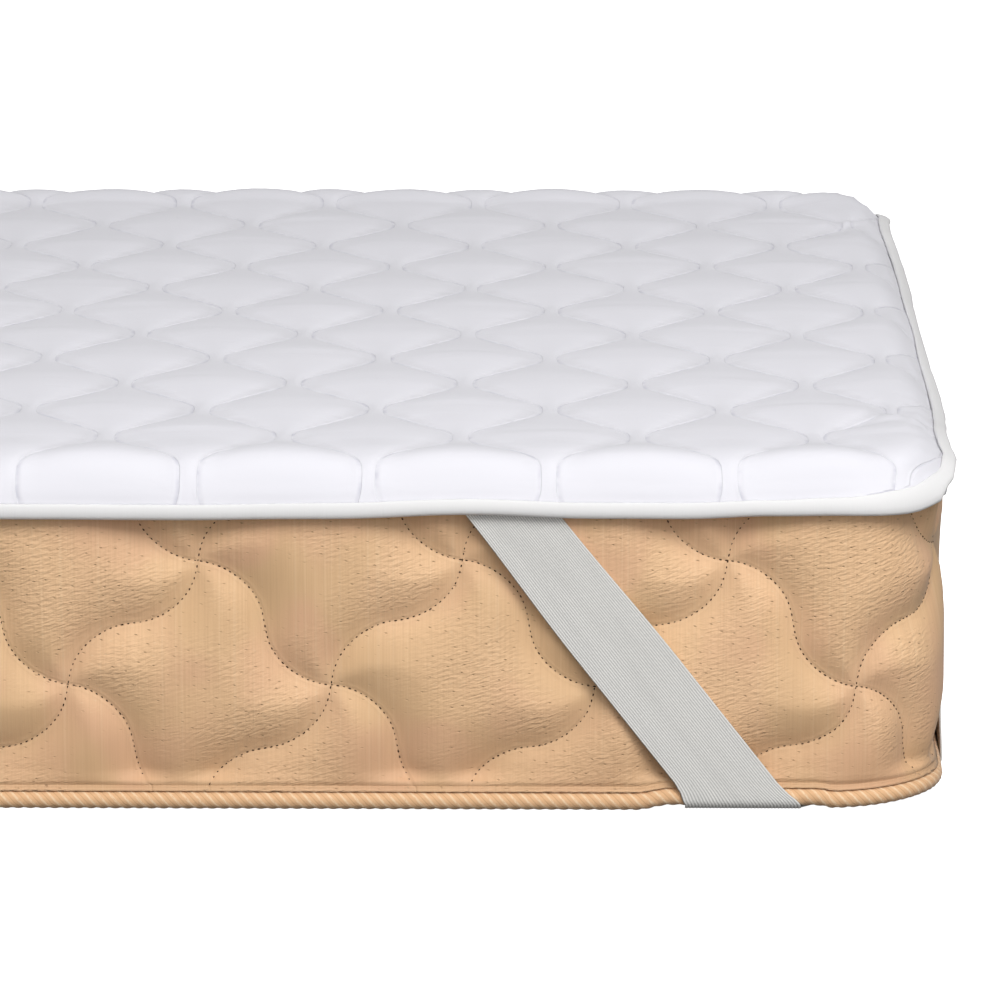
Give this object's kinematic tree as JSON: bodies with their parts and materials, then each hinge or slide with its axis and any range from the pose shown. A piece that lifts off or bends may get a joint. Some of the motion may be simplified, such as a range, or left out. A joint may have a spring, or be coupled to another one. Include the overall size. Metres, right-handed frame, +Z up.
{
  "type": "mattress topper on mattress",
  "caption": "Quilted white mattress topper with bound edge, held on a single mattress by an elastic under each corner.",
  "frame": {"origin": "middle of the mattress's underside, on the surface it stands on", "axes": "+X along the bed, +Y across it from the long front side to the long back side, +Z up"},
  "size_m": [2.0172, 0.9188, 0.2306],
  "materials": {
    "quilted_microfibre": "matt brushed microfibre, quilted",
    "binding_tape": "smooth white woven tape",
    "ribbed_elastic": "light grey elastic with lengthwise ribs",
    "damask_ticking": "tan damask with a soft sheen, quilted",
    "twisted_piping": "tan twisted cord"
  },
  "bodies": {
    "root": {"quilted_panel": "quilted_microfibre", "edge_binding": "binding_tape", "strap_front_right": "ribbed_elastic", "strap_back_right": "ribbed_elastic", "strap_back_left": "ribbed_elastic", "strap_front_left": "ribbed_elastic", "mattress": "damask_ticking", "bottom_piping": "twisted_piping"}
  },
  "joints": []
}
